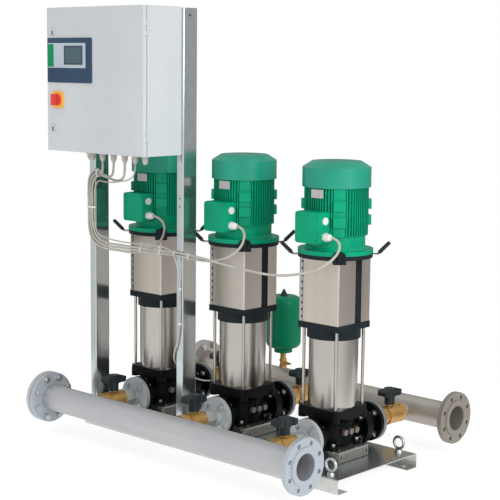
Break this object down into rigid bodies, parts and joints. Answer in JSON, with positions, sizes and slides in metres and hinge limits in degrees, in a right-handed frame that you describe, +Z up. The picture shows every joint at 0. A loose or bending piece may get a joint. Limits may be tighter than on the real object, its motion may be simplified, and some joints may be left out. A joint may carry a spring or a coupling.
{
  "type": "booster pump set",
  "caption": "Booster pump set: vertical multistage pumps on a folded base between suction and discharge manifolds, with shut-off and check valves, vessel and control cabinet.",
  "frame": {"origin": "on the floor, under the centre of the bounding box", "axes": "+X along the manifolds to their open ends, +Y from suction to discharge, +Z up"},
  "size_m": [1.53, 1.1972, 1.85],
  "materials": {
    "galvanised_sheet": "galvanised sheet, satin",
    "black_casting": "black dip-painted cast iron",
    "green_motor_paint": "green sprayed enamel, semi-gloss",
    "stainless": "stainless sheet and tube, matt",
    "zinc_steel": "zinc-plated steel",
    "brass": "cast and turned brass, matt",
    "grey_flange": "grey coated steel flange",
    "black_plastic": "moulded black plastic",
    "grey_sheet": "light grey powder coat, fine texture",
    "pale_plastic": "moulded pale grey plastic",
    "blue_fascia": "moulded dark blue plastic with a clear screen",
    "yellow_plate": "moulded yellow plastic",
    "red_knob": "moulded red plastic",
    "cable_sheath": "extruded pale grey cable sheath",
    "copper_winding": "varnished copper winding and sheet core"
  },
  "bodies": {
    "set": {"base_deck": "galvanised_sheet", "pump_pedestals": "galvanised_sheet", "lifting_eyes": "zinc_steel", "panel_posts": "galvanised_sheet", "pump_barrels": "stainless", "stage_casings": "stainless", "bearings_and_seals": "zinc_steel", "tie_rods": "zinc_steel", "coupling_guards": "stainless", "handle_grips": "black_plastic", "motor_stators": "copper_winding", "motor_fan_covers": "green_motor_paint", "motor_terminal_boxes": "green_motor_paint", "cable_glands": "pale_plastic", "bolts_pins_and_plugs": "zinc_steel", "pipe_flanges": "grey_flange", "ball_valve_bodies": "brass", "check_valve_bodies": "black_casting", "suction_manifold": "stainless", "discharge_manifold": "stainless", "pressure_vessel": "green_motor_paint", "vessel_cap": "black_plastic", "vessel_valve": "brass", "pressure_sensor": "zinc_steel", "cabinet_body": "grey_sheet", "gear_plate": "galvanised_sheet", "switchgear": "black_plastic", "sensor_cable": "cable_sheath", "pump_1_base": "black_casting", "pump_1_lantern": "black_casting", "motor_1_frame": "green_motor_paint", "motor_cable_1": "cable_sheath", "pump_2_base": "black_casting", "pump_2_lantern": "black_casting", "motor_2_frame": "green_motor_paint", "motor_cable_2": "cable_sheath", "pump_3_base": "black_casting", "pump_3_lantern": "black_casting", "motor_3_frame": "green_motor_paint", "motor_cable_3": "cable_sheath"},
    "rotor_1": {"pump_1_rotor": "zinc_steel"},
    "suction_handle_1": {"suction_valve_1_handle": "black_plastic"},
    "discharge_handle_1": {"discharge_valve_1_handle": "black_plastic"},
    "check_disc_1": {"check_valve_1_disc": "stainless"},
    "rotor_2": {"pump_2_rotor": "zinc_steel"},
    "suction_handle_2": {"suction_valve_2_handle": "black_plastic"},
    "discharge_handle_2": {"discharge_valve_2_handle": "black_plastic"},
    "check_disc_2": {"check_valve_2_disc": "stainless"},
    "rotor_3": {"pump_3_rotor": "zinc_steel"},
    "suction_handle_3": {"suction_valve_3_handle": "black_plastic"},
    "discharge_handle_3": {"discharge_valve_3_handle": "black_plastic"},
    "check_disc_3": {"check_valve_3_disc": "stainless"},
    "door": {"cabinet_door": "grey_sheet", "door_gasket": "black_plastic", "control_panel": "blue_fascia", "main_switch_plate": "yellow_plate"},
    "main_switch": {"main_switch_knob": "red_knob"},
    "upper_lock": {"upper_door_lock": "zinc_steel"},
    "lower_lock": {"lower_door_lock": "zinc_steel"},
    "cock_lever": {"vessel_valve_lever": "brass"}
  },
  "joints": [
    {"name": "rotor_1_spin", "type": "hinge", "parent": "set", "child": "rotor_1", "pos_m": [-0.475, -0.0455, 0.6], "axis": [0, 0, 1], "continuous": true},
    {"name": "suction_valve_1_turn", "type": "hinge", "parent": "set", "child": "suction_handle_1", "pos_m": [-0.475, -0.3365, 0.23], "axis": [0, 0, 1], "range_deg": [0, 90]},
    {"name": "discharge_valve_1_turn", "type": "hinge", "parent": "set", "child": "discharge_handle_1", "pos_m": [-0.475, 0.3365, 0.23], "axis": [0, 0, 1], "range_deg": [0, 90]},
    {"name": "check_valve_1_lift", "type": "slide", "parent": "set", "child": "check_disc_1", "axis": [0, 1, 0], "range_m": [0, 0.012], "stiffness_N_per_m": 400, "springref_m": -0.01},
    {"name": "rotor_2_spin", "type": "hinge", "parent": "set", "child": "rotor_2", "pos_m": [0.025, -0.0455, 0.6], "axis": [0, 0, 1], "continuous": true},
    {"name": "suction_valve_2_turn", "type": "hinge", "parent": "set", "child": "suction_handle_2", "pos_m": [0.025, -0.3365, 0.23], "axis": [0, 0, 1], "range_deg": [0, 90]},
    {"name": "discharge_valve_2_turn", "type": "hinge", "parent": "set", "child": "discharge_handle_2", "pos_m": [0.025, 0.3365, 0.23], "axis": [0, 0, 1], "range_deg": [0, 90]},
    {"name": "check_valve_2_lift", "type": "slide", "parent": "set", "child": "check_disc_2", "axis": [0, 1, 0], "range_m": [0, 0.012], "stiffness_N_per_m": 400, "springref_m": -0.01},
    {"name": "rotor_3_spin", "type": "hinge", "parent": "set", "child": "rotor_3", "pos_m": [0.525, -0.0455, 0.6], "axis": [0, 0, 1], "continuous": true},
    {"name": "suction_valve_3_turn", "type": "hinge", "parent": "set", "child": "suction_handle_3", "pos_m": [0.525, -0.3365, 0.23], "axis": [0, 0, 1], "range_deg": [0, 90]},
    {"name": "discharge_valve_3_turn", "type": "hinge", "parent": "set", "child": "discharge_handle_3", "pos_m": [0.525, 0.3365, 0.23], "axis": [0, 0, 1], "range_deg": [0, 90]},
    {"name": "check_valve_3_lift", "type": "slide", "parent": "set", "child": "check_disc_3", "axis": [0, 1, 0], "range_m": [0, 0.012], "stiffness_N_per_m": 400, "springref_m": -0.01},
    {"name": "cabinet_door_swing", "type": "hinge", "parent": "set", "child": "door", "pos_m": [-0.089, -0.49, 1.55], "axis": [0, 0, 1], "range_deg": [0, 120]},
    {"name": "main_switch_turn", "type": "hinge", "parent": "door", "child": "main_switch", "pos_m": [-0.622, -0.5155, 1.466], "axis": [0, 1, 0], "range_deg": [0, 90]},
    {"name": "upper_lock_turn", "type": "hinge", "parent": "door", "child": "upper_lock", "pos_m": [-0.653, -0.5115, 1.751], "axis": [0, 1, 0], "range_deg": [0, 90]},
    {"name": "lower_lock_turn", "type": "hinge", "parent": "door", "child": "lower_lock", "pos_m": [-0.653, -0.5115, 1.348], "axis": [0, 1, 0], "range_deg": [0, 90]},
    {"name": "vessel_valve_turn", "type": "hinge", "parent": "set", "child": "cock_lever", "pos_m": [-0.214, 0.48865, 0.23515], "axis": [1, 0, 0], "range_deg": [0, 90]}
  ]
}
